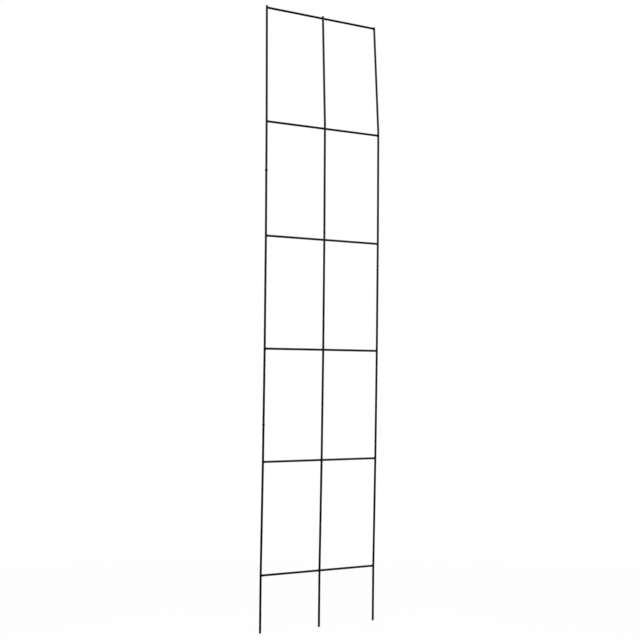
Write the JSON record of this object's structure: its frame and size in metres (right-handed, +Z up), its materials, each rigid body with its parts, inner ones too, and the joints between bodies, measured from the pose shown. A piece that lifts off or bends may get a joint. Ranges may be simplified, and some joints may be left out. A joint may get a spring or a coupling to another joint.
{
  "type": "espalier frame",
  "caption": "Flat garden trellis of black-coated welded rod: uprights crossed by level rails, ending in legs that push into the soil; its top bay is slightly twisted.",
  "frame": {"origin": "ground line on the axis of the middle leg, level with the soil when the legs are pushed in", "axes": "+Z up along the uprights, +X along the rails to the right, the front faces -Y"},
  "size_m": [0.4575, 0.0365, 1.8068],
  "materials": {
    "coated_rod": "satin black powder coat on drawn steel rod",
    "coated_weld": "satin black powder coat over rough weld metal"
  },
  "bodies": {
    "root": {"left_upright_lower": "coated_rod", "left_upright_centre": "coated_rod", "left_upright_upper": "coated_rod", "middle_upright": "coated_rod", "right_upright": "coated_rod", "bottom_rail": "coated_rod", "fifth_rail": "coated_rod", "fourth_rail": "coated_rod", "third_rail": "coated_rod", "second_rail": "coated_rod", "top_rail": "coated_rod", "weld_bottom_left": "coated_weld", "weld_bottom_middle": "coated_weld", "weld_bottom_right": "coated_weld", "weld_fifth_left": "coated_weld", "weld_fifth_middle": "coated_weld", "weld_fifth_right": "coated_weld", "weld_fourth_left": "coated_weld", "weld_fourth_middle": "coated_weld", "weld_fourth_right": "coated_weld", "weld_third_left": "coated_weld", "weld_third_middle": "coated_weld", "weld_third_right": "coated_weld", "weld_second_left": "coated_weld", "weld_second_middle": "coated_weld", "weld_second_right": "coated_weld", "weld_top_left": "coated_weld", "weld_top_middle": "coated_weld", "weld_top_right": "coated_weld", "lower_butt_weld": "coated_weld", "upper_butt_weld": "coated_weld"}
  },
  "joints": []
}
